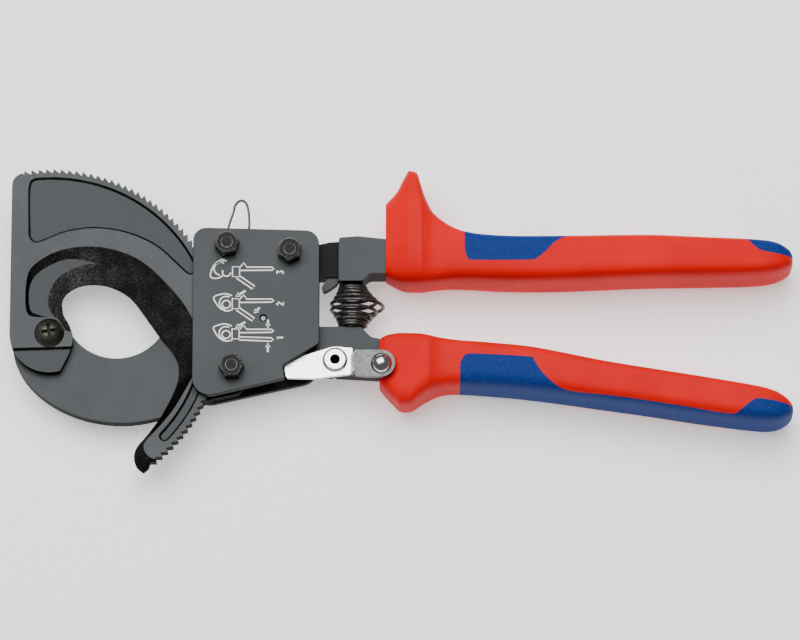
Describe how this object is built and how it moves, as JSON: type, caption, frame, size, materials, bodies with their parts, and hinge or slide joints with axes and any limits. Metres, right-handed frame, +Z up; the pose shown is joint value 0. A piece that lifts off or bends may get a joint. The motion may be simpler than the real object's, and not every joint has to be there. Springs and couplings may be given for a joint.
{
  "type": "ratcheting cable cutter",
  "caption": "Two-handed ratcheting cable cutter with a toothed moving blade, a round fixed jaw, a plated head, moulded grips and a lock lever.",
  "frame": {"origin": "middle of the base of the bounding box, with the tool lying on its back", "axes": "+X along the handles, away from the jaw; +Y towards the upper handle and the toothed top of the moving blade; +Z up, out of the front cover"},
  "size_m": [0.2496, 0.0998, 0.0239],
  "materials": {
    "blued_plate": "blued plate, satin",
    "blade_steel": "burnished blued steel",
    "pivot_steel": "olive grey plated",
    "black_fastener": "black oxide",
    "plain_steel": "ground steel",
    "spring_steel": "oiled black",
    "wire_steel": "bright drawn wire",
    "zinc_plate": "bright zinc",
    "polished_knob": "polished",
    "red_grip": "moulded, semi gloss",
    "blue_inlay": "fine grained"
  },
  "bodies": {
    "frame": {"front_cover": "blued_plate", "rear_cover": "blued_plate", "fixed_blade": "blade_steel", "pivot_screw": "pivot_steel", "pivot_sleeve": "pivot_steel", "cover_screws": "black_fastener", "cover_nuts": "black_fastener", "spacer_bush": "plain_steel", "pawl_bush": "plain_steel", "upper_tang": "blued_plate", "tang_rivet": "plain_steel", "stop_pin": "wire_steel", "upper_grip": "red_grip", "upper_grip_inlays": "blue_inlay", "upper_spring_seat": "plain_steel", "handle_pin": "plain_steel"},
    "blade": {"moving_blade": "blade_steel"},
    "handle": {"lower_tang": "blued_plate", "lower_grip": "red_grip", "lower_grip_inlay": "blue_inlay", "handle_washer": "plain_steel", "drive_pawl_pin": "plain_steel", "lever_rivet": "zinc_plate", "lower_spring_seat": "plain_steel", "return_spring": "spring_steel"},
    "driver": {"drive_pawl": "plain_steel", "drive_pawl_spring": "wire_steel"},
    "holder": {"holding_pawl": "plain_steel", "holding_pawl_spring": "wire_steel", "release_wire": "wire_steel"},
    "lever": {"lock_lever": "zinc_plate", "lever_knob": "polished_knob"}
  },
  "joints": [
    {"name": "blade_pivot", "type": "hinge", "parent": "frame", "child": "blade", "pos_m": [-0.11215, -0.0047, 0.013], "axis": [0, 0, 1], "range_deg": [-80, 130]},
    {"name": "handle_pivot", "type": "hinge", "parent": "frame", "child": "handle", "pos_m": [-0.03565, -0.0077, 0.01], "axis": [0, 0, -1], "range_deg": [0, 35], "deforming": ["return_spring"]},
    {"name": "drive_pawl_pivot", "type": "hinge", "parent": "handle", "child": "driver", "pos_m": [-0.04965, 0.0018, 0.013], "axis": [0, 0, 1], "range_deg": [-13, 6], "stiffness_Nm_per_rad": 0.02},
    {"name": "holding_pawl_pivot", "type": "hinge", "parent": "frame", "child": "holder", "pos_m": [-0.05575, 0.0234, 0.013], "axis": [0, 0, 1], "range_deg": [-9.5, 10], "stiffness_Nm_per_rad": 0.02},
    {"name": "lock_lever_pivot", "type": "hinge", "parent": "handle", "child": "lever", "pos_m": [-0.02125, -0.0135, 0.014], "axis": [0, 0, 1], "range_deg": [0, 22]}
  ]
}
